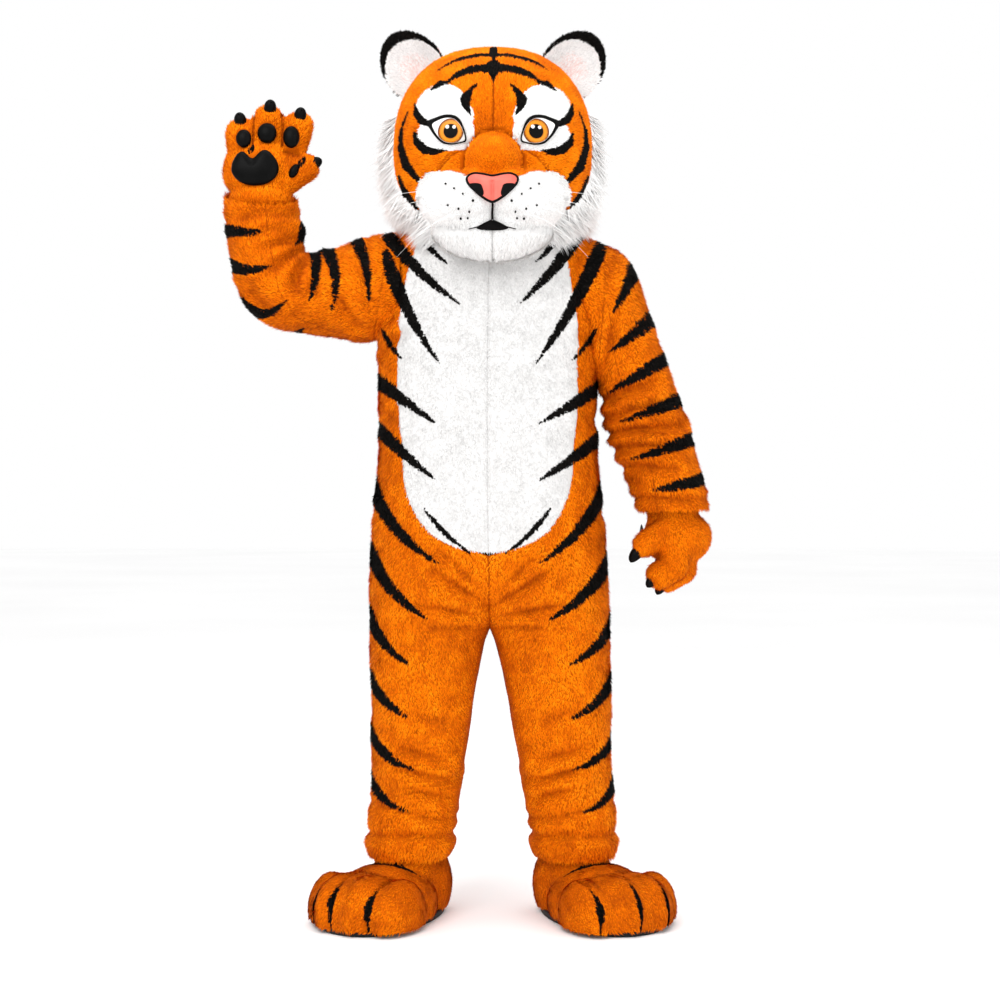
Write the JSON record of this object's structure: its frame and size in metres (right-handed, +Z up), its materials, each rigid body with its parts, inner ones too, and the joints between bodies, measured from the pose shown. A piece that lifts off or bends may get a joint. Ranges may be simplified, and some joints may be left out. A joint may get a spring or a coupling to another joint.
{
  "type": "tiger mascot costume",
  "caption": "Worn full-body tiger mascot costume: plush jumpsuit with black stripes and a white front, foam head, mitts with claws and padded foot covers, one arm raised.",
  "frame": {"origin": "middle of the shoulders, 1.49 m above the ground, where the wearer carries the costume", "axes": "+Z up, -Y the costume's front, +X the wearer's left"},
  "size_m": [1.043, 0.504, 1.8984],
  "materials": {
    "orange_plush": "short orange faux fur with black stripes",
    "white_plush": "short white faux fur",
    "white_fur": "long white faux fur",
    "black_vinyl": "glossy black moulded vinyl",
    "black_trim": "black felt and lip",
    "eye_gloss": "glossy painted eye, amber iris with a black pupil",
    "nose_vinyl": "satin pink moulded nose with a black edge",
    "sole_rubber": "matt black rubber"
  },
  "bodies": {
    "root": {"back_left": "orange_plush", "back_right": "orange_plush", "back_zip": "orange_plush", "belly_left": "white_plush", "belly_right": "white_plush", "bridge": "orange_plush", "chin": "white_plush", "ear_back_left": "orange_plush", "ear_back_right": "orange_plush", "ear_front_left": "white_plush", "ear_front_right": "white_plush", "eye_left": "eye_gloss", "eye_patch_left": "white_plush", "eye_patch_right": "white_plush", "eye_right": "eye_gloss", "eye_rim_left": "black_trim", "eye_rim_right": "black_trim", "face_left": "orange_plush", "face_right": "orange_plush", "finger1_claw_left": "black_vinyl", "finger1_claw_right": "black_vinyl", "finger1_pad_left": "black_vinyl", "finger1_pad_right": "black_vinyl", "finger2_claw_left": "black_vinyl", "finger2_claw_right": "black_vinyl", "finger2_pad_left": "black_vinyl", "finger2_pad_right": "black_vinyl", "finger3_claw_left": "black_vinyl", "finger3_claw_right": "black_vinyl", "finger3_pad_left": "black_vinyl", "finger3_pad_right": "black_vinyl", "foot_left": "orange_plush", "foot_right": "orange_plush", "front_left": "orange_plush", "front_right": "orange_plush", "head_back": "orange_plush", "jaw": "white_plush", "mitt_left": "orange_plush", "mitt_right": "orange_plush", "mouth": "black_trim", "muzzle_left": "white_plush", "muzzle_right": "white_plush", "nose": "nose_vinyl", "palm_pad_left": "black_vinyl", "palm_pad_right": "black_vinyl", "ruff_left": "white_fur", "ruff_right": "white_fur", "sleeve_left": "orange_plush", "sleeve_right": "orange_plush", "sole_left": "sole_rubber", "sole_right": "sole_rubber", "thumb_claw_left": "black_vinyl", "thumb_claw_right": "black_vinyl", "thumb_pad_left": "black_vinyl", "thumb_pad_right": "black_vinyl"}
  },
  "joints": []
}
